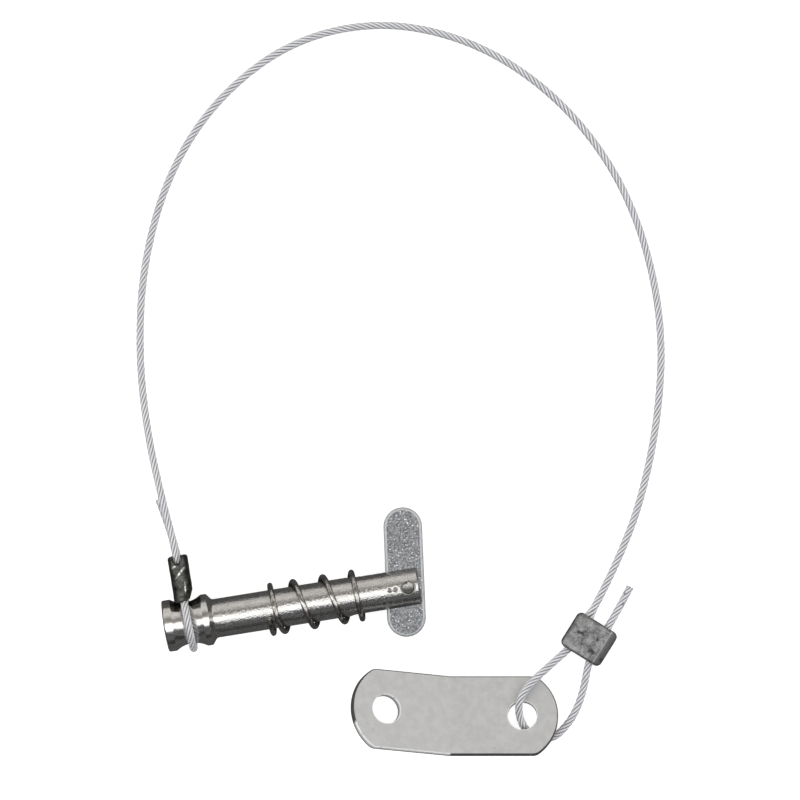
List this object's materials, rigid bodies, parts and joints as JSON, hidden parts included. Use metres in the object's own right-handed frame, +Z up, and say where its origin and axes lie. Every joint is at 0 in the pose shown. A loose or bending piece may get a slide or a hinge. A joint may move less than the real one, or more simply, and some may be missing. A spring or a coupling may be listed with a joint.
{
  "type": "toggle pin with wire rope lanyard",
  "caption": "Drop-nose toggle pin with a grooved head and loose coil spring, tethered by a clear-coated wire-rope lanyard to a bent two-hole mounting tab.",
  "frame": {"origin": "on the table under the middle of the box round the pin, toggle, spring and tab, without the lanyard", "axes": "+X along the pin's axis from head end to nose, +Y towards the lanyard's loop, +Z up from the table"},
  "size_m": [0.1108, 0.1537, 0.0125],
  "materials": {
    "polished_stainless": "polished stainless steel with fine turning and handling marks",
    "tumbled_stainless": "tumbled stainless with a sparkly grain and a bright rim",
    "spring_wire": "bright drawn stainless spring wire",
    "coated_rope": "silvery strands under a thin clear coat",
    "dark_sleeve": "dark crimped metal with bright scuffs",
    "grey_sleeve": "mottled grey crimped metal with dark edges",
    "matte_stainless": "matte rolled stainless sheet with bright cut edges"
  },
  "bodies": {
    "lanyard": {"lanyard_run": "coated_rope", "pin_eye": "coated_rope", "tab_eye": "coated_rope", "pin_ferrule": "dark_sleeve", "tab_ferrule": "grey_sleeve"},
    "pin": {"pin_body": "polished_stainless", "toggle_pivot_pin": "polished_stainless"},
    "toggle": {"toggle_bar": "tumbled_stainless"},
    "spring": {"spring_head_end_coil": "spring_wire", "spring_coils": "spring_wire"},
    "spring_nose_end": {"spring_nose_end_coil": "spring_wire"},
    "tab": {"mounting_tab": "matte_stainless"}
  },
  "joints": [
    {"name": "eye_swivel", "type": "hinge", "parent": "lanyard", "child": "pin", "pos_m": [-0.0331, 0.0109, 0.0062], "axis": [1, 0, 0], "continuous": true},
    {"name": "toggle_swing", "type": "hinge", "parent": "pin", "child": "toggle", "pos_m": [0.01205, 0.0109, 0.0062], "axis": [0, 0, 1], "range_deg": [-203.2, 33]},
    {"name": "spring_float", "type": "slide", "parent": "pin", "child": "spring", "axis": [1, 0, 0], "range_m": [-0.0108, 0.0009]},
    {"name": "spring_compress", "type": "slide", "parent": "spring", "child": "spring_nose_end", "axis": [-1, 0, 0], "range_m": [0, 0.012], "stiffness_N_per_m": 5200, "deforming": ["spring_coils"]},
    {"name": "tab_swing", "type": "hinge", "parent": "lanyard", "child": "tab", "pos_m": [0.03092, -0.01886, 0.00331], "axis": [0.0491, 0.3051, 0.9511], "range_deg": [-1, 120]}
  ]
}
